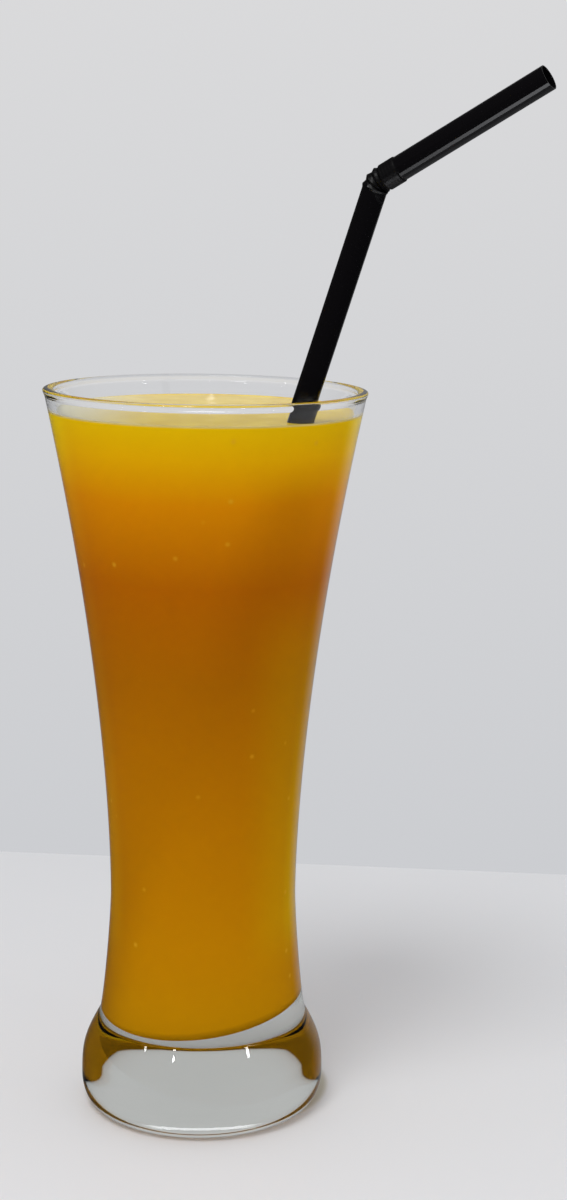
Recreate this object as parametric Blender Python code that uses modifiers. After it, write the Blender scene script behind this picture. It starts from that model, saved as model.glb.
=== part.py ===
"""Tall flared glass filled with mango slush, with a black bendy straw leaning on its rim.

Metres, +Z up. The origin is the centre of the glass's flat underside, on the glass's axis.
-Y is the front: the straw leans to the right (+X) and forward, and its mouth points that way too.
"""

import math

import bmesh
import bpy
from mathutils import Matrix, Vector

# Glass, outside, from the table up
FOOT_RADIUS = 0.0274
BULGE_RADIUS = 0.0313
BULGE_HEIGHT = 0.0070
NECK_RADIUS = 0.0268
NECK_HEIGHT = 0.0233
NECK_SLOPE = 0.55  # how far the neck comes in for each metre up, where the bulge turns into it
NECK_SPREAD = 0.0018  # heights over which the neck and the bulge hold their direction
SHOULDER_SPREAD = 0.0073
WAIST_RADIUS = 0.02373
WAIST_HEIGHT = 0.0565
WAIST_SPREAD = 0.0075
FLARE_POWER = 1.69  # 1 would be a straight cone from the waist to the rim
FLARE_TOP_RADIUS = 0.03965
FLARE_TOP_HEIGHT = 0.1839
GLASS_HEIGHT = 0.1852

# Rim: a bead that swells from the wall to its thickest line, with a rounded top
RIM_RADIUS = 0.0400
RIM_BORE_RADIUS = 0.03745
RIM_THICKEST_HEIGHT = 0.1847
RIM_FOOT_HEIGHT = 0.1831
RIM_FOOT_SPREAD = 0.0005  # heights over which the bead holds the wall's direction, then its own
RIM_SPREAD = 0.0006

# Glass, inside
WALL_AT_RIM = 0.0021
WALL_AT_WAIST = 0.0026
FLOOR_HEIGHT = 0.0199  # in the middle of the bowl-shaped floor
FLOOR_EDGE_HEIGHT = 0.0206
FLOOR_CORNER_WIDTH = 0.0179
FLOOR_CORNER_HEIGHT = 0.0055
BORE_FOOT_RADIUS = 0.0211  # where the side meets the rounded corner of the floor
FLOOR_TILT = 0.143  # the cast floor isn't level: it rises by this much for each metre to the right
TILT_TOP = 0.0450  # the tilt has died out at this height

# Drink
DRINK_LEVEL = 0.1800
FITTING_GAP = 0.0003  # left between the drink and what it touches

# Straw: a straight lower tube, a fan of folds, a collar of packed folds, and the mouth tube
STRAW_RADIUS = 0.00295
STRAW_WALL = 0.00025
STRAW_FOOT = Vector((-0.0161, -0.0044, 0.0540))
STRAW_BEND = Vector((0.0386, -0.0329, 0.2358))
STRAW_MOUTH = Vector((0.0744, -0.0515, 0.2592))
HOLE_RUN_OUT = 0.0120  # how far the straw's hole is cut past the drink's surface
FOLD_PIVOT_RADIUS = 0.0034  # from the straw's axis to the point that the folds fan round
FOLD_COUNT = 3
FOLD_RIDGE = 1.08  # radii here are multiples of the straw's own
FOLD_GROOVE = 0.93
COLLAR_RADIUS = 1.075
FOLD_LEAD = 0.0006  # along the tube, from the outermost ridges to where the plain tube starts
COLLAR_START = 0.0012  # distances along the mouth tube, from the end of the fan
COLLAR_END = 0.0052
COLLAR_STEP = 0.00025

# Faceting
TURNED_STEPS = 64
NECK_POINTS = 8
FLARE_POINTS = 14
ARC_POINTS = 5
TOP_POINTS = 3
STRAW_BEVEL = 10
MERGE_DISTANCE = 0.000001
SHARP_ANGLE = 40

GLASS_COLOUR = (0.86, 0.89, 0.88, 1.0)
DRINK_COLOUR = (0.58, 0.27, 0.004, 1.0)
STRAW_COLOUR = (0.006, 0.005, 0.006, 1.0)


def clear_scene():
    for obj in list(bpy.data.objects):
        bpy.data.objects.remove(obj)


def new_collection(name):
    collection = bpy.data.collections.new(name)
    bpy.context.scene.collection.children.link(collection)
    return collection


def new_material(name, colour, roughness, transmission=0.0):
    material = bpy.data.materials.new(name)
    material.use_nodes = True
    shader = material.node_tree.nodes["Principled BSDF"]
    shader.inputs["Base Color"].default_value = colour
    shader.inputs["Roughness"].default_value = roughness
    shader.inputs["Metallic"].default_value = 0.0
    shader.inputs["Transmission Weight"].default_value = transmission
    return material


def bezier(start, start_handle, end_handle, end, points):
    found = []
    for i in range(points):
        t = i / (points - 1)
        weights = ((1 - t) ** 3, 3 * (1 - t) ** 2 * t, 3 * (1 - t) * t**2, t**3)
        corners = (start, start_handle, end_handle, end)
        found.append(tuple(sum(w * c[axis] for w, c in zip(weights, corners)) for axis in (0, 1)))
    return found


def outer_radius(height):
    """The flare's outside radius, from the waist up to the rim's bead."""
    share = (height - WAIST_HEIGHT) / (FLARE_TOP_HEIGHT - WAIST_HEIGHT)
    return WAIST_RADIUS + (FLARE_TOP_RADIUS - WAIST_RADIUS) * share**FLARE_POWER


def inner_radius(height):
    """The bore's radius, from the floor's corner up to the rim's bead."""
    if height >= WAIST_HEIGHT:
        share = (height - WAIST_HEIGHT) / (GLASS_HEIGHT - WAIST_HEIGHT)
        return outer_radius(height) - WALL_AT_WAIST - (WALL_AT_RIM - WALL_AT_WAIST) * share
    at_waist = WAIST_RADIUS - WALL_AT_WAIST
    share = (WAIST_HEIGHT - height) / (WAIST_HEIGHT - FLOOR_EDGE_HEIGHT - FLOOR_CORNER_HEIGHT)
    return at_waist + (BORE_FOOT_RADIUS - at_waist) * share


def quarter_turn(corner, across, drop, points):
    """Points of a quarter of an ellipse, from (corner + across) at its height down by drop."""
    found = []
    for i in range(points + 1):
        angle = math.pi / 2 * i / points
        found.append((corner[0] + across * math.cos(angle), corner[1] - drop * math.sin(angle)))
    return found


def bead_side(wall_radius, thickest):
    """One side of the rim's bead, from the wall up to its thickest line."""
    foot = wall_radius(RIM_FOOT_HEIGHT)
    lean = foot - wall_radius(RIM_FOOT_HEIGHT - RIM_FOOT_SPREAD)
    return bezier(
        (foot, RIM_FOOT_HEIGHT),
        (foot + lean, RIM_FOOT_HEIGHT + RIM_FOOT_SPREAD),
        (thickest, RIM_THICKEST_HEIGHT - RIM_SPREAD),
        (thickest, RIM_THICKEST_HEIGHT),
        ARC_POINTS,
    )


def rim_profile():
    """The rim's bead, from the bore's side over the top to the outside."""
    middle = ((RIM_BORE_RADIUS + RIM_RADIUS) / 2, RIM_THICKEST_HEIGHT)
    half = (RIM_RADIUS - RIM_BORE_RADIUS) / 2
    rise = RIM_THICKEST_HEIGHT - GLASS_HEIGHT
    inside = quarter_turn(middle, -half, rise, TOP_POINTS)
    outside = quarter_turn(middle, half, rise, TOP_POINTS)[::-1]
    bore_side = bead_side(inner_radius, RIM_BORE_RADIUS)[:-1]
    return bore_side + inside + outside[1:-1] + bead_side(outer_radius, RIM_RADIUS)[::-1]


def outside_profile():
    """The glass's outside, from just under the rim's bead down to the axis underneath."""
    drop = RIM_FOOT_HEIGHT - WAIST_HEIGHT
    rows = [RIM_FOOT_HEIGHT - drop * i / FLARE_POINTS for i in range(1, FLARE_POINTS)]
    flare = [(outer_radius(height), height) for height in rows]
    neck = bezier(
        (WAIST_RADIUS, WAIST_HEIGHT),
        (WAIST_RADIUS, WAIST_HEIGHT - WAIST_SPREAD),
        (NECK_RADIUS - NECK_SLOPE * NECK_SPREAD, NECK_HEIGHT + NECK_SPREAD),
        (NECK_RADIUS, NECK_HEIGHT),
        NECK_POINTS,
    )
    shoulder = bezier(
        (NECK_RADIUS, NECK_HEIGHT),
        (NECK_RADIUS + NECK_SLOPE * SHOULDER_SPREAD, NECK_HEIGHT - SHOULDER_SPREAD),
        (BULGE_RADIUS, BULGE_HEIGHT + SHOULDER_SPREAD),
        (BULGE_RADIUS, BULGE_HEIGHT),
        NECK_POINTS,
    )
    foot_corner = (FOOT_RADIUS, BULGE_HEIGHT)
    foot = quarter_turn(foot_corner, BULGE_RADIUS - FOOT_RADIUS, BULGE_HEIGHT, ARC_POINTS)
    return flare + neck + shoulder[1:-1] + foot + [(0.0, 0.0)]


def bore_profile(gap, top):
    """The bore's side and floor, gap inside the glass, from the height top down to the axis."""
    corner_top = FLOOR_EDGE_HEIGHT + FLOOR_CORNER_HEIGHT
    rows = [top + (corner_top - top) * i / FLARE_POINTS for i in range(FLARE_POINTS)]
    side = [(inner_radius(height) - gap, height) for height in rows]
    edge = (BORE_FOOT_RADIUS - FLOOR_CORNER_WIDTH, corner_top)
    corner = quarter_turn(edge, FLOOR_CORNER_WIDTH - gap, FLOOR_CORNER_HEIGHT - gap, ARC_POINTS)
    return side + corner + [(0.0, FLOOR_HEIGHT + gap)]


def tilt_floor(solid):
    """Tips the bore's floor about the Y axis, and leaves the glass's outside alone."""
    corner_top = FLOOR_EDGE_HEIGHT + FLOOR_CORNER_HEIGHT
    for vertex in solid.data.vertices:
        place = vertex.co
        inside = math.hypot(place.x, place.y) < (WAIST_RADIUS + BORE_FOOT_RADIUS) / 2
        if inside and FLOOR_HEIGHT / 2 < place.z < TILT_TOP:
            share = min(1.0, (TILT_TOP - place.z) / (TILT_TOP - corner_top))
            place.z += FLOOR_TILT * place.x * share


def add_object(name, data, collection):
    obj = bpy.data.objects.new(name, data)
    collection.objects.link(obj)
    return obj


def turned(name, profile, collection):
    """A solid of revolution, from a profile that runs down its outer side, top to bottom."""
    mesh = bpy.data.meshes.new(name)
    points = [(across, 0.0, height) for across, height in profile]
    mesh.from_pydata(points, [(i, i + 1) for i in range(len(points) - 1)], [])
    obj = add_object(name, mesh, collection)
    screw = obj.modifiers.new("turn", "SCREW")
    screw.steps = screw.render_steps = TURNED_STEPS
    screw.use_merge_vertices = True
    screw.merge_threshold = MERGE_DISTANCE
    return baked(obj, collection)


def tube(name, points, radii, collection):
    """A round bar along points, with its own radius at each of them."""
    curve = bpy.data.curves.new(name, "CURVE")
    curve.dimensions = "3D"
    curve.bevel_depth = STRAW_RADIUS
    curve.bevel_resolution = STRAW_BEVEL
    curve.use_fill_caps = True
    line = curve.splines.new("POLY")
    line.points.add(len(points) - 1)
    for spot, place, radius in zip(line.points, points, radii):
        spot.co = (*place, 1.0)
        spot.radius = radius / STRAW_RADIUS
    return baked(add_object(name, curve, collection), collection)


def baked(obj, collection):
    """A mesh object with the shape that obj's modifiers or bevel make, in place of obj."""
    graph = bpy.context.evaluated_depsgraph_get()
    mesh = bpy.data.meshes.new_from_object(obj.evaluated_get(graph))
    weld = bmesh.new()
    weld.from_mesh(mesh)
    bmesh.ops.remove_doubles(weld, verts=weld.verts, dist=MERGE_DISTANCE)
    bmesh.ops.recalc_face_normals(weld, faces=weld.faces)
    weld.to_mesh(mesh)
    weld.free()
    name = obj.name
    place = obj.matrix_world.copy()
    bpy.data.objects.remove(obj)
    solid = add_object(name, mesh, collection)
    solid.matrix_world = place
    return solid


def cut(obj, cutter):
    cutter.hide_render = True
    cutter.display_type = "WIRE"
    boolean = obj.modifiers.new("cut by " + cutter.name, "BOOLEAN")
    boolean.operation = "DIFFERENCE"
    boolean.object = cutter


def finish(obj, material):
    obj.data.materials.clear()
    obj.data.materials.append(material)
    obj.data.shade_smooth()
    obj.data.set_sharp_from_angle(angle=math.radians(SHARP_ANGLE))


def make_glass(parts):
    """One turned solid: the rounded rim, the thin flared wall and the thick clear foot."""
    bore = bore_profile(0.0, RIM_FOOT_HEIGHT)[1:]
    glass = turned("glass", bore[::-1] + rim_profile() + outside_profile(), parts)
    tilt_floor(glass)
    finish(glass, new_material("glass", GLASS_COLOUR, 0.02, transmission=1.0))


def make_drink(parts, cutters):
    """The slush: it fills the bore up to its level, with a blind hole round the straw."""
    drink = turned("drink", [(0.0, DRINK_LEVEL)] + bore_profile(FITTING_GAP, DRINK_LEVEL), parts)
    tilt_floor(drink)
    along = (STRAW_BEND - STRAW_FOOT).normalized()
    length = (DRINK_LEVEL - STRAW_FOOT.z) / along.z
    ends = [STRAW_FOOT - FITTING_GAP * along, STRAW_FOOT + (length + HOLE_RUN_OUT) * along]
    cut(drink, tube("straw_hole", ends, [STRAW_RADIUS + FITTING_GAP] * 2, cutters))
    finish(drink, new_material("drink", DRINK_COLOUR, 0.35))


def straw_route():
    """(place, radius) down the straw's axis, from its foot to its mouth.

    The folds fan round a pivot on the inner side of the bend. Their rings stand on an arc round it,
    a ridge and a groove in turn. The collar of packed folds follows on the mouth tube.
    """
    lower = (STRAW_BEND - STRAW_FOOT).normalized()
    upper = (STRAW_MOUTH - STRAW_BEND).normalized()
    bend = lower.angle(upper)
    axis = lower.cross(upper).normalized()
    tangent_length = FOLD_PIVOT_RADIUS * math.tan(bend / 2)
    fan_start = STRAW_BEND - tangent_length * lower
    fan_end = STRAW_BEND + tangent_length * upper
    pivot = fan_start + FOLD_PIVOT_RADIUS * axis.cross(lower)
    route = [(STRAW_FOOT, 1.0), (fan_start - FOLD_LEAD * lower, 1.0)]
    rings = 2 * FOLD_COUNT - 1
    for i in range(rings):
        turn = Matrix.Rotation(bend * i / (rings - 1), 3, axis)
        radius = FOLD_GROOVE if i % 2 else FOLD_RIDGE
        route.append((pivot + turn @ (fan_start - pivot), radius))
    collar = (
        (FOLD_LEAD, FOLD_GROOVE),
        (COLLAR_START, COLLAR_RADIUS),
        (COLLAR_END - COLLAR_STEP, COLLAR_RADIUS),
        (COLLAR_END, 1.0),
    )
    route += [(fan_end + along * upper, radius) for along, radius in collar]
    return route + [(STRAW_MOUTH, 1.0)]


def make_straw(parts, cutters):
    """One thin tube, open at both ends, folded at its bend."""
    route = straw_route()
    places = [place for place, _ in route]
    radii = [radius * STRAW_RADIUS for _, radius in route]
    straw = tube("straw", places, radii, parts)
    past_foot = places[0] + (places[0] - places[1]).normalized() * STRAW_RADIUS
    past_mouth = places[-1] + (places[-1] - places[-2]).normalized() * STRAW_RADIUS
    bore_places = [past_foot] + places[1:-1] + [past_mouth]
    cut(straw, tube("straw_bore", bore_places, [radius - STRAW_WALL for radius in radii], cutters))
    finish(straw, new_material("straw", STRAW_COLOUR, 0.3))


def build():
    clear_scene()
    parts = new_collection("mango_slush_glass")
    cutters = new_collection("cutters")
    make_glass(parts)
    make_drink(parts, cutters)
    make_straw(parts, cutters)


build()
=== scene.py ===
"""Looks of the glass of mango slush: clear turned glass, golden slush and a black bendy straw.

Metres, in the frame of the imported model: +Z up, the glass's axis on Z, -Y towards the viewer.
"""

import math

import bmesh
import bpy
from mathutils import Matrix, Vector

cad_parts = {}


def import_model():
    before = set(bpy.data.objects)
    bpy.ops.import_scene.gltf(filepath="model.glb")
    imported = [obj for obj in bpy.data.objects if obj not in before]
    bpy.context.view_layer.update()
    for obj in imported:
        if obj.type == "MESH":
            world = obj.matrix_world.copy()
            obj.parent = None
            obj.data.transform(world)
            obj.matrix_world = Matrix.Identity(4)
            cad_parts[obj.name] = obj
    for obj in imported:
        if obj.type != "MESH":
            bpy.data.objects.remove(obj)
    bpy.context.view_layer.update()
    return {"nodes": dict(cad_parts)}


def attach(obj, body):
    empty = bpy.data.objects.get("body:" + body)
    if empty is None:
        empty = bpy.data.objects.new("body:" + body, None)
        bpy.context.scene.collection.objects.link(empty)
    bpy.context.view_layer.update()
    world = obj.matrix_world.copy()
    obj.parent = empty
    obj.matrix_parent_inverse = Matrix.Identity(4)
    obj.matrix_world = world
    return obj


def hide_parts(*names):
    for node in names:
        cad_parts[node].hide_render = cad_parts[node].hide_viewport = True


# Camera: placed from the glass's foot, with the photograph's framing
PHOTO_HEIGHT = 1200
FOCAL_PIXELS = 2171.0
CENTRE_SHIFT_PIXELS = (66.0, 13.5)  # the photograph is a crop, so its lens axis is off its centre
CAMERA_DISTANCE = 0.5364
CAMERA_HEIGHT = 0.23785
CAMERA_YAW = 3.888  # degrees to the right
CAMERA_PITCH = 11.470  # degrees down
CAMERA_ROLL = 1.106
SENSOR_WIDTH = 36.0
CLIP_START = 0.01

# Glass, outside, from the table up
FOOT_RADIUS = 0.0274
BULGE_RADIUS = 0.0313
BULGE_HEIGHT = 0.0070
NECK_RADIUS = 0.0268
NECK_HEIGHT = 0.0233
NECK_SLOPE = 0.55  # how far the neck comes in for each metre up, where the bulge turns into it
NECK_SPREAD = 0.0018  # heights over which the neck and the bulge hold their direction
SHOULDER_SPREAD = 0.0073
WAIST_RADIUS = 0.02373
WAIST_HEIGHT = 0.0565
WAIST_SPREAD = 0.0075
FLARE_POWER = 1.69  # 1 would be a straight cone from the waist to the rim
FLARE_TOP_RADIUS = 0.03965
FLARE_TOP_HEIGHT = 0.1839
GLASS_HEIGHT = 0.1852

# Rim: a bead that swells from the wall to its thickest line, with a rounded top
RIM_RADIUS = 0.0400
RIM_BORE_RADIUS = 0.03745
RIM_THICKEST_HEIGHT = 0.1847
RIM_FOOT_HEIGHT = 0.1831
RIM_FOOT_SPREAD = 0.0005  # heights over which the bead holds the wall's direction, then its own
RIM_SPREAD = 0.0006

# Glass, inside
WALL_AT_RIM = 0.0021
WALL_AT_WAIST = 0.0026
FLOOR_HEIGHT = 0.0199  # in the middle of the bowl-shaped floor
FLOOR_EDGE_HEIGHT = 0.0206
FLOOR_CORNER_WIDTH = 0.0179
FLOOR_CORNER_HEIGHT = 0.0055
BORE_FOOT_RADIUS = 0.0211  # where the side meets the rounded corner of the floor
FLOOR_TILT = 0.143  # the cast floor isn't level: it rises by this much for each metre to the right
TILT_TOP = 0.0450  # the tilt has died out at this height

# Glass, its matter
GLASS_IOR = 1.51
GLASS_TINT = (0.40, 0.44, 0.38)
GLASS_ABSORPTION = 10.5
GLASS_SMEAR = 0.03  # the roughness of its most smeared places
GLASS_SMEAR_SCALE = 60.0

# Drink, its shape
DRINK_LEVEL = 0.1800
WALL_REACH = 0.0001  # how far the drink reaches into the wall, so that no air shows between them
MENISCUS_RISE = 0.00015
MENISCUS_WIDTH = 0.0008
SURFACE_DEPTH = 0.0004  # faces that lie no deeper than this and look up by this much are the surface
SURFACE_LOOKS_UP = 0.3

# Drink, its side
SIDE_COLOURS = (  # by the share of the way from the floor up to the level. The orange is the slush's own, but its change with height is painted light: paler and yellower near the level and the floor, where light gets into the slush, and deepest orange at mid height
    (0.0, (0.74, 0.34, 0.0005)),
    (0.17, (0.73, 0.32, 0.0005)),
    (0.35, (0.685, 0.278, 0.0005)),
    (0.60, (0.585, 0.205, 0.0005)),
    (0.75, (0.635, 0.192, 0.0005)),
    (0.88, (0.90, 0.36, 0.0005)),
    (0.95, (1.0, 0.58, 0.001)),
    (1.0, (0.98, 0.64, 0.002)),
)
WARM_TINT = (1.07, 1.35, 1.0)  # the slush is lit yellower on the right, below the flare
WARM_START = 0.008  # distances to the right
WARM_FULL = 0.022
WARM_TOP = 0.145  # heights at which this tint begins, from above, and is full
WARM_FULL_HEIGHT = 0.118
PAINTED_EDGE_GLOW = (1.16, 1.36, 1.0)  # painted glow: the slush's colour is made brighter and yellower on the sides that look to the left and right, where they are seen edge on from the front
EDGE_START = 0.86  # shares of the skin's direction that point to the left or right
EDGE_FULL = 1.0
TINT_FOOT = 0.035  # neither tint is there below this height, and both are full above the next
TINT_START = 0.055
FILM_COLOUR = (0.80, 0.66, 0.25)  # a pale film of slush on the wall, just under the level
FILM_DEPTH = 0.0005
PULP_COLOUR = (0.95, 0.55, 0.03)
PULP_SCALE = 150.0  # cells of flecks for each metre
PULP_SIZE = 0.15  # a fleck's radius, as a share of its cell
PULP_SHARE = 0.4  # of the cells, those that hold a fleck
PULP_STRENGTH = 0.7
SLUSH_ROUGHNESS = 0.5
GRAIN_SCALE = 900.0
GRAIN_STRENGTH = 0.05
GRAIN_DEPTH = 0.0002

# Drink, the shade that the straw throws on what lies above it
STRAW_SHADE = (0.84, 0.82, 0.9)
SHADE_END = 0.015  # the distance from the straw's axis at which it ends
SHADE_TOP = 0.174  # heights at which it begins, from above, and is full
SHADE_FULL = 0.158

# Drink, its surface
SURFACE_COLOUR = (0.76, 0.52, 0.004)
SURFACE_PALE_COLOUR = (0.88, 0.64, 0.03)
SURFACE_PATCH_SCALE = 140.0
SURFACE_PATCHES = (0.35, 0.70)  # the noise's values at which its two colours are pure
SURFACE_ROUGHNESS = 0.2
SURFACE_SPECULAR = 0.22
SURFACE_IOR = 1.34
FROTH_COLOUR = (0.68, 0.64, 0.42)
FROTH_START = -0.010  # distances to the right, so the froth lies on the left
FROTH_FULL = -0.036

# Straw
STRAW_RADIUS = 0.00295
STRAW_FOOT = Vector((-0.0161, -0.0044, 0.0540))
STRAW_BEND = Vector((0.0386, -0.0329, 0.2358))
STRAW_MOUTH = Vector((0.0744, -0.0515, 0.2592))
STRAW_COLOUR = (0.0034, 0.0030, 0.0036)
STRAW_SPECULAR = 0.2
STRAW_ROUGHNESS = 0.14
STRAW_GRAIN_SCALE = 2500.0
STRAW_GRAIN_STRENGTH = 0.1
STRAW_GRAIN_DEPTH = 0.00003
COLLAR_START = -0.0010  # distances along the mouth tube, from the bend
COLLAR_END = 0.0065
COLLAR_EDGE = 0.0004
COLLAR_ROUGHNESS = 0.42
RIB_PITCH = 0.0008
RIB_HEIGHT = 0.000012

# Fineness
TURNED_STEPS = 192
FLARE_POINTS = 48
ROW_CROWDING = 1.7  # 1 would space a wall's rows evenly
NECK_POINTS = 28
ARC_POINTS = 14
SURFACE_RINGS = 60
MERGE_DISTANCE = 0.000001
SHARP_ANGLE = 50

# Table
FLOOR_DROP = 0.0002  # the table lies this far under the glass, so that an air gap stays between them
TABLE_BACK = 0.1974
TABLE_TURN = 7.9
TABLE_REACH = 3.0
TABLE_COLOUR = (0.80, 0.81, 0.83)
TABLE_PALE_COLOUR = (0.82, 0.83, 0.85)
TABLE_PATCH_SCALE = 6.0
TABLE_PATCHES = (0.3, 0.7)
TABLE_ROUGHNESS = 0.45
CONTACT_CENTRE = (0.0045, 0.0065, -FLOOR_DROP)  # the dark, warm rim of shade right beside the foot
CONTACT_RADIUS = 0.0285
CONTACT_EDGE = 0.0010
CONTACT_TINT = (0.72, 0.69, 0.57)

# Room, as it is seen. Heights of directions run from -1, straight down, to 1, straight up.
WALL_LOW_DIRECTION = -0.32
WALL_HIGH_DIRECTION = 0.08
WALL_LOW_COLOUR = (0.60, 0.61, 0.635)
WALL_HIGH_COLOUR = (0.70, 0.70, 0.71)
ROOM_AS_LIGHT = 0.93
ROOM_AS_LIGHT_THROUGH_GLASS = 2.0  # makes up for what Cycles loses between the drink and its glass

# Room, as it is mirrored
MIRRORED_ROOM = (  # its strength by direction, from straight down to straight up
    (0.0, (0.7, 0.7, 0.7)),
    (0.085, (0.7, 0.7, 0.7)),
    (0.105, (0.1, 0.1, 0.1)),
    (0.25, (0.04, 0.04, 0.04)),
    (1.0, (0.04, 0.04, 0.04)),
)
MIRROR_WALL_START = 0.60  # the wall behind is mirrored from these directions, mostly on the right
MIRROR_WALL_END = 0.90
MIRROR_WALL_LEFT = -0.5
MIRROR_WALL_RIGHT = 0.15
MIRROR_WALL_STRENGTH = 0.4
GLARE_LOW = -0.88  # a sunlit patch of table in front of the glass, by the heights of its directions
GLARE_HIGH = -0.82
GLARE_EDGE = 0.02
GLARE_FRONT = -0.35
GLARE_STRENGTH = 11.0

# Lamps
LAMP_TARGET = Vector((0.0, 0.0, 0.09))


def bezier(start, start_handle, end_handle, end, points):
    found = []
    for i in range(points):
        t = i / (points - 1)
        weights = ((1 - t) ** 3, 3 * (1 - t) ** 2 * t, 3 * (1 - t) * t**2, t**3)
        corners = (start, start_handle, end_handle, end)
        found.append(tuple(sum(w * c[axis] for w, c in zip(weights, corners)) for axis in (0, 1)))
    return found


def quarter_turn(corner, across, drop):
    """Points of a quarter of an ellipse, from (corner + across) at its height down by drop."""
    found = []
    for i in range(ARC_POINTS + 1):
        angle = math.pi / 2 * i / ARC_POINTS
        found.append((corner[0] + across * math.cos(angle), corner[1] - drop * math.sin(angle)))
    return found


def crowded(top, foot):
    """Heights of a wall's rows from top to just above foot, closest together at the top."""
    return [top + (foot - top) * (i / FLARE_POINTS) ** ROW_CROWDING for i in range(FLARE_POINTS)]


def outer_radius(height):
    """The flare's outside radius, from the waist up to the rim's bead."""
    share = (height - WAIST_HEIGHT) / (FLARE_TOP_HEIGHT - WAIST_HEIGHT)
    return WAIST_RADIUS + (FLARE_TOP_RADIUS - WAIST_RADIUS) * share**FLARE_POWER


def inner_radius(height):
    """The bore's radius, from the floor's corner up to the rim's bead."""
    if height >= WAIST_HEIGHT:
        share = (height - WAIST_HEIGHT) / (GLASS_HEIGHT - WAIST_HEIGHT)
        return outer_radius(height) - WALL_AT_WAIST - (WALL_AT_RIM - WALL_AT_WAIST) * share
    at_waist = WAIST_RADIUS - WALL_AT_WAIST
    share = (WAIST_HEIGHT - height) / (WAIST_HEIGHT - FLOOR_EDGE_HEIGHT - FLOOR_CORNER_HEIGHT)
    return at_waist + (BORE_FOOT_RADIUS - at_waist) * share


def bead_side(wall_radius, thickest):
    """One side of the rim's bead, from the wall up to its thickest line."""
    foot = wall_radius(RIM_FOOT_HEIGHT)
    lean = foot - wall_radius(RIM_FOOT_HEIGHT - RIM_FOOT_SPREAD)
    return bezier(
        (foot, RIM_FOOT_HEIGHT),
        (foot + lean, RIM_FOOT_HEIGHT + RIM_FOOT_SPREAD),
        (thickest, RIM_THICKEST_HEIGHT - RIM_SPREAD),
        (thickest, RIM_THICKEST_HEIGHT),
        ARC_POINTS,
    )


def rim_profile():
    """The rim's bead, from the bore's side over the top to the outside."""
    middle = (RIM_RADIUS + RIM_BORE_RADIUS) / 2
    half = (RIM_RADIUS - RIM_BORE_RADIUS) / 2
    top = []
    for i in range(1, 2 * ARC_POINTS):
        angle = math.pi * (1 - i / (2 * ARC_POINTS))
        rise = (GLASS_HEIGHT - RIM_THICKEST_HEIGHT) * math.sin(angle)
        top.append((middle + half * math.cos(angle), RIM_THICKEST_HEIGHT + rise))
    inside = bead_side(inner_radius, RIM_BORE_RADIUS)
    return inside + top + bead_side(outer_radius, RIM_RADIUS)[::-1]


def outside_profile():
    """The glass's outside, from just under the rim's bead down to the axis underneath."""
    flare = [(outer_radius(height), height) for height in crowded(RIM_FOOT_HEIGHT, WAIST_HEIGHT)]
    neck = bezier(
        (WAIST_RADIUS, WAIST_HEIGHT),
        (WAIST_RADIUS, WAIST_HEIGHT - WAIST_SPREAD),
        (NECK_RADIUS - NECK_SLOPE * NECK_SPREAD, NECK_HEIGHT + NECK_SPREAD),
        (NECK_RADIUS, NECK_HEIGHT),
        NECK_POINTS,
    )
    shoulder = bezier(
        (NECK_RADIUS, NECK_HEIGHT),
        (NECK_RADIUS + NECK_SLOPE * SHOULDER_SPREAD, NECK_HEIGHT - SHOULDER_SPREAD),
        (BULGE_RADIUS, BULGE_HEIGHT + SHOULDER_SPREAD),
        (BULGE_RADIUS, BULGE_HEIGHT),
        NECK_POINTS,
    )
    foot = quarter_turn((FOOT_RADIUS, BULGE_HEIGHT), BULGE_RADIUS - FOOT_RADIUS, BULGE_HEIGHT)
    return flare[1:] + neck + shoulder[1:] + foot[1:] + [(0.0, 0.0)]


def bore_profile(reach, top):
    """The bore's side and floor, grown by reach into the glass, from the height top to the axis."""
    corner_top = FLOOR_EDGE_HEIGHT + FLOOR_CORNER_HEIGHT
    side = [(inner_radius(height) + reach, height) for height in crowded(top, corner_top)]
    corner = quarter_turn(
        (BORE_FOOT_RADIUS - FLOOR_CORNER_WIDTH, corner_top),
        FLOOR_CORNER_WIDTH + reach,
        FLOOR_CORNER_HEIGHT + reach,
    )
    return side + corner + [(0.0, FLOOR_HEIGHT - reach)]


def tilt_floor(solid):
    """Tips the bore's floor, with nothing left of the tip at the height TILT_TOP."""
    mid_wall = WAIST_RADIUS - WALL_AT_WAIST / 2
    for vertex in solid.data.vertices:
        place = vertex.co
        if FLOOR_HEIGHT / 2 < place.z < TILT_TOP and math.hypot(place.x, place.y) < mid_wall:
            share = min(1.0, (TILT_TOP - place.z) / (TILT_TOP - FLOOR_EDGE_HEIGHT - FLOOR_CORNER_HEIGHT))
            place.z += FLOOR_TILT * place.x * share


def add_object(name, data):
    obj = bpy.data.objects.new(name, data)
    bpy.context.scene.collection.objects.link(obj)
    return obj


def turned(name, profile):
    """A smooth solid of revolution, from a profile that runs down its outer side."""
    mesh = bpy.data.meshes.new(name)
    points = [(across, 0.0, height) for across, height in profile]
    mesh.from_pydata(points, [(i, i + 1) for i in range(len(points) - 1)], [])
    obj = add_object(name, mesh)
    screw = obj.modifiers.new("turn", "SCREW")
    screw.steps = screw.render_steps = TURNED_STEPS
    screw.use_merge_vertices = True
    screw.merge_threshold = MERGE_DISTANCE
    return baked(obj)


def baked(obj):
    """A mesh object with the shape that obj's modifiers make, in place of obj."""
    graph = bpy.context.evaluated_depsgraph_get()
    mesh = bpy.data.meshes.new_from_object(obj.evaluated_get(graph))
    weld = bmesh.new()
    weld.from_mesh(mesh)
    bmesh.ops.remove_doubles(weld, verts=weld.verts, dist=MERGE_DISTANCE)
    bmesh.ops.recalc_face_normals(weld, faces=weld.faces)
    weld.to_mesh(mesh)
    weld.free()
    name = obj.name
    bpy.data.objects.remove(obj)
    solid = add_object(name, mesh)
    solid.data.shade_smooth()
    solid.data.set_sharp_from_angle(angle=math.radians(SHARP_ANGLE))
    return solid


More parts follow.
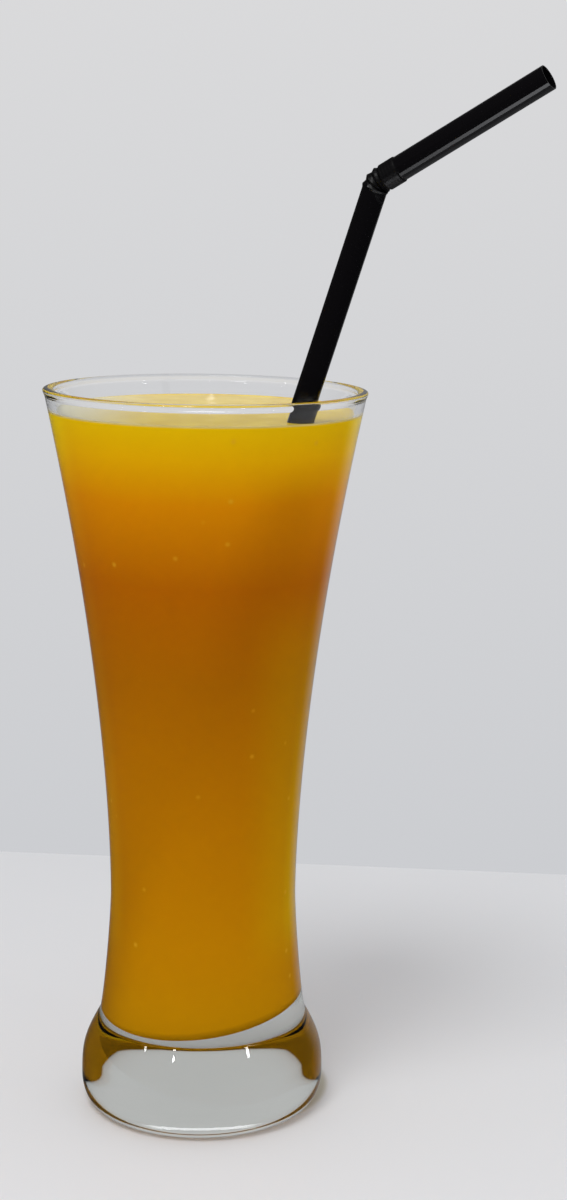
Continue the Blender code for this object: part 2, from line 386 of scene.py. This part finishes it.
def make_glass():
    bore = bore_profile(0.0, RIM_FOOT_HEIGHT)[1:]
    glass = turned("clear_glass", bore[::-1] + rim_profile() + outside_profile())
    tilt_floor(glass)
    glass.data.materials.append(glass_material())
    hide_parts("glass")
    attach(glass, "root")


def make_drink():
    edge = inner_radius(DRINK_LEVEL) + WALL_REACH
    top = []
    for i in range(SURFACE_RINGS + 1):
        across = edge * i / SURFACE_RINGS
        rise = MENISCUS_RISE * math.exp(-(edge - across) / MENISCUS_WIDTH)
        top.append((across, DRINK_LEVEL + rise))
    side = bore_profile(WALL_REACH, top[-1][1])
    drink = turned("mango_slush", top + side[1:])
    tilt_floor(drink)
    drink.data.materials.append(side_material())
    drink.data.materials.append(surface_material())
    for face in drink.data.polygons:
        high = face.center.z > DRINK_LEVEL - SURFACE_DEPTH
        face.material_index = int(high and face.normal.z > SURFACE_LOOKS_UP)
    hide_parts("drink")
    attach(drink, "root")


def dress_straw(frame):
    straw = frame["nodes"]["straw"]
    straw.data.materials.clear()
    straw.data.materials.append(straw_material())


def new_material(name):
    material = bpy.data.materials.new(name)
    material.use_nodes = True
    return material, material.node_tree.nodes, material.node_tree.links


def give(links, socket, value):
    """Gives an input socket its value: another socket, a number or a colour."""
    if isinstance(value, (int, float)):
        socket.default_value = value
    elif isinstance(value, tuple):
        socket.default_value = (*value, 1.0)
    else:
        links.new(value, socket)


def texture_place(nodes, kind):
    return nodes.new("ShaderNodeTexCoord").outputs[kind]


def axes_of(nodes, links, vector):
    split = nodes.new("ShaderNodeSeparateXYZ")
    links.new(vector, split.inputs["Vector"])
    return split.outputs


def noise(nodes, links, place, scale):
    texture = nodes.new("ShaderNodeTexNoise")
    texture.inputs["Scale"].default_value = scale
    texture.inputs["Detail"].default_value = 3.0
    links.new(place, texture.inputs["Vector"])
    return texture.outputs["Fac"]


def ramp(nodes, links, source, stops):
    """The colour that source picks from (position, colour) stops."""
    node = nodes.new("ShaderNodeValToRGB")
    elements = node.color_ramp.elements
    while len(elements) < len(stops):
        elements.new(0.5)
    for element, (position, colour) in zip(elements, stops):
        element.position = position
        element.color = (*colour, 1.0)
    links.new(source, node.inputs["Fac"])
    return node.outputs["Color"]


def map_range(nodes, links, source, start, end, smooth=False, low=0.0, high=1.0):
    """source turned into low at start and high at end."""
    node = nodes.new("ShaderNodeMapRange")
    node.interpolation_type = "SMOOTHSTEP" if smooth else "LINEAR"
    node.inputs["From Min"].default_value = start
    node.inputs["From Max"].default_value = end
    node.inputs["To Min"].default_value = low
    node.inputs["To Max"].default_value = high
    links.new(source, node.inputs["Value"])
    return node.outputs["Result"]


def maths(nodes, links, operation, first, second=0.0):
    """The result of a math node, whose inputs are sockets or numbers."""
    node = nodes.new("ShaderNodeMath")
    node.operation = operation
    give(links, node.inputs[0], first)
    give(links, node.inputs[1], second)
    return node.outputs["Value"]


def product(nodes, links, first, *others):
    for other in others:
        first = maths(nodes, links, "MULTIPLY", first, other)
    return first


def vector_maths(nodes, links, operation, first, second, result="Vector"):
    """The result of a vector math node. first is a socket and second is a vector."""
    node = nodes.new("ShaderNodeVectorMath")
    node.operation = operation
    links.new(first, node.inputs[0])
    node.inputs[1].default_value = second
    return node.outputs[result]


def mixed(nodes, links, share, first, second, blend="MIX"):
    """The colour first, with the colour second mixed in by share."""
    node = nodes.new("ShaderNodeMix")
    node.data_type = "RGBA"
    node.blend_type = blend
    links.new(share, node.inputs[0])
    give(links, node.inputs[6], first)
    give(links, node.inputs[7], second)
    return node.outputs[2]


def between(nodes, links, share, first, second):
    """A number that goes from first to second by share."""
    node = nodes.new("ShaderNodeMix")
    links.new(share, node.inputs["Factor"])
    give(links, node.inputs["A"], first)
    give(links, node.inputs["B"], second)
    return node.outputs["Result"]


def bumped(nodes, links, height, strength, distance, under=None):
    """The surface's normal as height bends it, on top of the normal under."""
    bump = nodes.new("ShaderNodeBump")
    bump.inputs["Strength"].default_value = strength
    bump.inputs["Distance"].default_value = distance
    links.new(height, bump.inputs["Height"])
    if under is not None:
        links.new(under, bump.inputs["Normal"])
    return bump.outputs["Normal"]


def glass_material():
    material, nodes, links = new_material("clear_glass")
    shader = nodes["Principled BSDF"]
    shader.inputs["Base Color"].default_value = (1.0, 1.0, 1.0, 1.0)
    shader.inputs["Transmission Weight"].default_value = 1.0
    shader.inputs["IOR"].default_value = GLASS_IOR
    body = nodes.new("ShaderNodeVolumeAbsorption")
    body.inputs["Color"].default_value = (*GLASS_TINT, 1.0)
    body.inputs["Density"].default_value = GLASS_ABSORPTION
    links.new(body.outputs["Volume"], nodes["Material Output"].inputs["Volume"])
    smear = noise(nodes, links, texture_place(nodes, "Object"), GLASS_SMEAR_SCALE)
    roughness = map_range(nodes, links, smear, 0.0, 1.0, high=GLASS_SMEAR)
    links.new(roughness, shader.inputs["Roughness"])
    return material


def slush_skin(nodes, links, place):
    """The normal of the slush's fine grain."""
    grain = noise(nodes, links, place, GRAIN_SCALE)
    return bumped(nodes, links, grain, GRAIN_STRENGTH, GRAIN_DEPTH)


def straw_shade(nodes, links, place, height):
    """1 beside the straw inside the drink, and 0 far from it and near the level."""
    along = (STRAW_BEND - STRAW_FOOT).normalized()
    offset = vector_maths(nodes, links, "SUBTRACT", place, STRAW_FOOT)
    across = vector_maths(nodes, links, "CROSS_PRODUCT", offset, along)
    distance = vector_maths(nodes, links, "DISTANCE", across, (0.0, 0.0, 0.0), "Value")
    near = map_range(nodes, links, distance, SHADE_END, STRAW_RADIUS, smooth=True)
    under = map_range(nodes, links, height, SHADE_TOP, SHADE_FULL, smooth=True)
    return product(nodes, links, near, under)


def pulp(nodes, links, place):
    """PULP_STRENGTH in the few flecks of pulp that lie against the glass, and 0 between them."""
    cells = nodes.new("ShaderNodeTexVoronoi")
    cells.inputs["Scale"].default_value = PULP_SCALE
    links.new(place, cells.inputs["Vector"])
    spot = map_range(nodes, links, cells.outputs["Distance"], PULP_SIZE, 0.0, smooth=True)
    chance = nodes.new("ShaderNodeSeparateColor")
    links.new(cells.outputs["Color"], chance.inputs["Color"])
    kept = maths(nodes, links, "GREATER_THAN", chance.outputs["Red"], 1.0 - PULP_SHARE)
    return product(nodes, links, spot, kept, PULP_STRENGTH)


def warm_share(nodes, links, axes):
    """1 on the drink's right, below the flare."""
    rightward = map_range(nodes, links, axes["X"], WARM_START, WARM_FULL, smooth=True)
    low = map_range(nodes, links, axes["Z"], WARM_TOP, WARM_FULL_HEIGHT, smooth=True)
    return product(nodes, links, rightward, low)


def painted_glow_share(nodes, links):
    """The share of the painted glow: 1 where the drink's side looks to the left or right."""
    normal = texture_place(nodes, "Normal")
    level = vector_maths(nodes, links, "MULTIPLY", normal, (1.0, 1.0, 0.0))
    outward = vector_maths(nodes, links, "NORMALIZE", level, (0.0, 0.0, 0.0))
    sideways = maths(nodes, links, "ABSOLUTE", axes_of(nodes, links, outward)["X"])
    return map_range(nodes, links, sideways, EDGE_START, EDGE_FULL, smooth=True)


def side_material():
    """The slush behind the glass, with pulp. Its colour holds painted light and shade: deepest orange at
    mid height, yellower on the right and on the sides that look left and right, and the straw's painted
    shade.
    """
    material, nodes, links = new_material("mango_slush")
    shader = nodes["Principled BSDF"]
    place = texture_place(nodes, "Object")
    axes = axes_of(nodes, links, place)
    height = axes["Z"]
    # the slush's colour by height, with painted light in how it changes from the floor to the level
    colour = ramp(nodes, links, map_range(nodes, links, height, FLOOR_HEIGHT, DRINK_LEVEL), SIDE_COLOURS)
    above_foot = map_range(nodes, links, height, TINT_FOOT, TINT_START, smooth=True)
    warm = product(nodes, links, warm_share(nodes, links, axes), above_foot)
    colour = mixed(nodes, links, warm, colour, WARM_TINT, "MULTIPLY")
    # painted glow on the sides that look to the left or right
    edge = product(nodes, links, painted_glow_share(nodes, links), above_foot)
    colour = mixed(nodes, links, edge, colour, PAINTED_EDGE_GLOW, "MULTIPLY")
    shade = straw_shade(nodes, links, place, height)
    colour = mixed(nodes, links, shade, colour, STRAW_SHADE, "MULTIPLY")
    colour = mixed(nodes, links, pulp(nodes, links, place), colour, PULP_COLOUR)
    film = map_range(nodes, links, height, DRINK_LEVEL - FILM_DEPTH, DRINK_LEVEL, smooth=True)
    colour = mixed(nodes, links, film, colour, FILM_COLOUR)
    links.new(colour, shader.inputs["Base Color"])
    shader.inputs["Roughness"].default_value = SLUSH_ROUGHNESS
    shader.inputs["Specular IOR Level"].default_value = 0.0
    links.new(slush_skin(nodes, links, place), shader.inputs["Normal"])
    return material


def surface_material():
    """The slush's open surface: wet, paler and yellower, with a thin froth along its left edge."""
    material, nodes, links = new_material("mango_slush_surface")
    shader = nodes["Principled BSDF"]
    place = texture_place(nodes, "Object")
    patches = noise(nodes, links, place, SURFACE_PATCH_SCALE)
    colours = (SURFACE_COLOUR, SURFACE_PALE_COLOUR)
    colour = ramp(nodes, links, patches, list(zip(SURFACE_PATCHES, colours)))
    rightward = axes_of(nodes, links, place)["X"]
    froth = map_range(nodes, links, rightward, FROTH_START, FROTH_FULL, smooth=True)
    colour = mixed(nodes, links, froth, colour, FROTH_COLOUR)
    links.new(colour, shader.inputs["Base Color"])
    shader.inputs["Roughness"].default_value = SURFACE_ROUGHNESS
    shader.inputs["Specular IOR Level"].default_value = SURFACE_SPECULAR
    shader.inputs["IOR"].default_value = SURFACE_IOR
    links.new(slush_skin(nodes, links, place), shader.inputs["Normal"])
    return material


def past_bend(nodes, links, place):
    """The distance from the straw's bend along its mouth tube."""
    along = (STRAW_MOUTH - STRAW_BEND).normalized()
    reach = vector_maths(nodes, links, "DOT_PRODUCT", place, along, "Value")
    return maths(nodes, links, "SUBTRACT", reach, STRAW_BEND.dot(along))


def collar_share(nodes, links, distance):
    """1 on the straw's folds and collar, and 0 on its smooth tube."""
    begun = map_range(nodes, links, distance, COLLAR_START - COLLAR_EDGE, COLLAR_START, smooth=True)
    left = map_range(nodes, links, distance, COLLAR_END + COLLAR_EDGE, COLLAR_END, smooth=True)
    return product(nodes, links, begun, left)


def collar_ribs(nodes, links, distance, collar, skin):
    """The normal of skin with fine ribs round the collar on top."""
    turns = maths(nodes, links, "MULTIPLY", distance, 2 * math.pi / RIB_PITCH)
    ribs = product(nodes, links, maths(nodes, links, "SINE", turns), collar)
    return bumped(nodes, links, ribs, 1.0, RIB_HEIGHT, skin)


def straw_material():
    material, nodes, links = new_material("black_straw")
    shader = nodes["Principled BSDF"]
    shader.inputs["Base Color"].default_value = (*STRAW_COLOUR, 1.0)
    shader.inputs["Specular IOR Level"].default_value = STRAW_SPECULAR
    place = texture_place(nodes, "Object")
    distance = past_bend(nodes, links, place)
    collar = collar_share(nodes, links, distance)
    roughness = map_range(nodes, links, collar, 0.0, 1.0, low=STRAW_ROUGHNESS, high=COLLAR_ROUGHNESS)
    links.new(roughness, shader.inputs["Roughness"])
    grain = noise(nodes, links, place, STRAW_GRAIN_SCALE)
    skin = bumped(nodes, links, grain, STRAW_GRAIN_STRENGTH, STRAW_GRAIN_DEPTH)
    links.new(collar_ribs(nodes, links, distance, collar, skin), shader.inputs["Normal"])
    return material


def contact_shade(nodes, links, place):
    """1 on the crescent of table beside the foot, and 0 under the foot and further out."""
    from_glass = vector_maths(nodes, links, "DISTANCE", place, (0.0, 0.0, -FLOOR_DROP), "Value")
    from_shade = vector_maths(nodes, links, "DISTANCE", place, CONTACT_CENTRE, "Value")
    outside = map_range(nodes, links, from_glass, FOOT_RADIUS, FOOT_RADIUS + CONTACT_EDGE, smooth=True)
    outer, inner = CONTACT_RADIUS + CONTACT_EDGE, CONTACT_RADIUS - CONTACT_EDGE
    inside = map_range(nodes, links, from_shade, outer, inner, smooth=True)
    return product(nodes, links, outside, inside)


def table_material():
    material, nodes, links = new_material("table_white")
    shader = nodes["Principled BSDF"]
    shader.inputs["Roughness"].default_value = TABLE_ROUGHNESS
    place = texture_place(nodes, "Object")
    patches = noise(nodes, links, place, TABLE_PATCH_SCALE)
    colours = (TABLE_COLOUR, TABLE_PALE_COLOUR)
    colour = ramp(nodes, links, patches, list(zip(TABLE_PATCHES, colours)))
    colour = mixed(nodes, links, contact_shade(nodes, links, place), colour, CONTACT_TINT, "MULTIPLY")
    links.new(colour, shader.inputs["Base Color"])
    return material


def make_table():
    """The pale table, which ends a hand's width behind the glass, at the photograph's horizon."""
    mesh = bpy.data.meshes.new("table_top")
    fall = TABLE_REACH * math.tan(math.radians(TABLE_TURN))
    corners = [
        (-TABLE_REACH, -TABLE_REACH, -FLOOR_DROP),
        (TABLE_REACH, -TABLE_REACH, -FLOOR_DROP),
        (TABLE_REACH, TABLE_BACK - fall, -FLOOR_DROP),
        (-TABLE_REACH, TABLE_BACK + fall, -FLOOR_DROP),
    ]
    mesh.from_pydata(corners, [], [(0, 1, 2, 3)])
    table = add_object("table_top", mesh)
    table.visible_glossy = False
    table.data.materials.append(table_material())


def mirrored_room(nodes, links, axes):
    """The room's strength in reflections: its floor, the wall behind, and a glare on the table."""
    depth = map_range(nodes, links, axes["Z"], -1.0, 1.0)
    floor = ramp(nodes, links, depth, MIRRORED_ROOM)
    behind = map_range(nodes, links, axes["Y"], MIRROR_WALL_START, MIRROR_WALL_END, smooth=True)
    rightward = map_range(nodes, links, axes["X"], MIRROR_WALL_LEFT, MIRROR_WALL_RIGHT, smooth=True)
    wall = product(nodes, links, behind, rightward, MIRROR_WALL_STRENGTH)
    above = map_range(nodes, links, axes["Z"], GLARE_LOW - GLARE_EDGE, GLARE_LOW, smooth=True)
    below = map_range(nodes, links, axes["Z"], GLARE_HIGH + GLARE_EDGE, GLARE_HIGH, smooth=True)
    front = map_range(nodes, links, axes["Y"], 0.0, GLARE_FRONT, smooth=True)
    glare = product(nodes, links, above, below, front, GLARE_STRENGTH)
    return maths(nodes, links, "ADD", maths(nodes, links, "ADD", wall, floor), glare)


def make_world():
    """A pale room: full strength where it is seen, through glass too, and dimmer in reflections."""
    world = bpy.data.worlds.new("pale_room")
    bpy.context.scene.world = world
    world.use_nodes = True
    world.cycles.sampling_method = "NONE"
    nodes, links = world.node_tree.nodes, world.node_tree.links
    background = nodes["Background"]
    axes = axes_of(nodes, links, texture_place(nodes, "Generated"))
    rise = map_range(nodes, links, axes["Z"], WALL_LOW_DIRECTION, WALL_HIGH_DIRECTION)
    colour = ramp(nodes, links, rise, ((0.0, WALL_LOW_COLOUR), (1.0, WALL_HIGH_COLOUR)))
    links.new(colour, background.inputs["Color"])
    path = nodes.new("ShaderNodeLightPath").outputs
    scattered = maths(nodes, links, "MINIMUM", path["Diffuse Depth"], 1.0)
    through_glass = between(nodes, links, scattered, 1.0, ROOM_AS_LIGHT_THROUGH_GLASS)
    strength = between(nodes, links, path["Is Diffuse Ray"], through_glass, ROOM_AS_LIGHT)
    mirrored = product(nodes, links, path["Is Glossy Ray"], path["Is Reflection Ray"])
    strength = between(nodes, links, mirrored, strength, mirrored_room(nodes, links, axes))
    links.new(strength, background.inputs["Strength"])


def make_lamp(name, azimuth, elevation, distance, size, power):
    """A disc of light aimed at the glass. Its azimuth is in degrees to the right of the viewer."""
    turn, rise = math.radians(azimuth), math.radians(elevation)
    aside = Vector((math.sin(turn) * math.cos(rise), -math.cos(turn) * math.cos(rise), math.sin(rise)))
    light = bpy.data.lights.new(name, "AREA")
    light.shape = "DISK"
    light.size = size
    light.energy = power
    lamp = add_object(name, light)
    lamp.location = LAMP_TARGET + aside * distance
    lamp.rotation_euler = aside.to_track_quat("Z", "Y").to_euler()


def make_lights():
    """One large lamp lights the glass, and the small ones make the sparkles on its foot and rim."""
    make_lamp("key_lamp", azimuth=-30, elevation=62, distance=1.3, size=0.50, power=6.5)
    make_lamp("low_lamp", azimuth=-31, elevation=26, distance=1.0, size=0.04, power=0.12)
    make_lamp("left_lamp", azimuth=-64, elevation=22, distance=1.0, size=0.035, power=0.05)
    make_lamp("middle_lamp", azimuth=-4, elevation=38, distance=1.0, size=0.09, power=0.25)
    make_lamp("right_lamp", azimuth=50, elevation=24, distance=1.0, size=0.05, power=0.15)


def make_camera():
    yaw, pitch, roll = (math.radians(a) for a in (CAMERA_YAW, CAMERA_PITCH, CAMERA_ROLL))
    forward = Vector(
        (math.sin(yaw) * math.cos(pitch), math.cos(yaw) * math.cos(pitch), -math.sin(pitch))
    )
    level = Vector((math.cos(yaw), -math.sin(yaw), 0.0))
    upright = level.cross(forward)
    right = level * math.cos(roll) + upright * math.sin(roll)
    up = upright * math.cos(roll) - level * math.sin(roll)
    data = bpy.data.cameras.new("camera")
    camera = add_object("camera", data)
    turn = Matrix((right, up, -forward)).transposed().to_4x4()
    camera.matrix_world = Matrix.Translation((0.0, -CAMERA_DISTANCE, CAMERA_HEIGHT)) @ turn
    data.sensor_fit = "AUTO"
    data.sensor_width = SENSOR_WIDTH
    data.lens = FOCAL_PIXELS / PHOTO_HEIGHT * SENSOR_WIDTH
    data.shift_x = -CENTRE_SHIFT_PIXELS[0] / PHOTO_HEIGHT
    data.shift_y = CENTRE_SHIFT_PIXELS[1] / PHOTO_HEIGHT
    data.clip_start = CLIP_START
    bpy.context.scene.camera = camera


def main():
    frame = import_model()
    make_glass()
    make_drink()
    dress_straw(frame)
    make_table()
    make_world()
    make_lights()
    make_camera()
    bpy.context.scene.view_settings.view_transform = "Standard"


main()
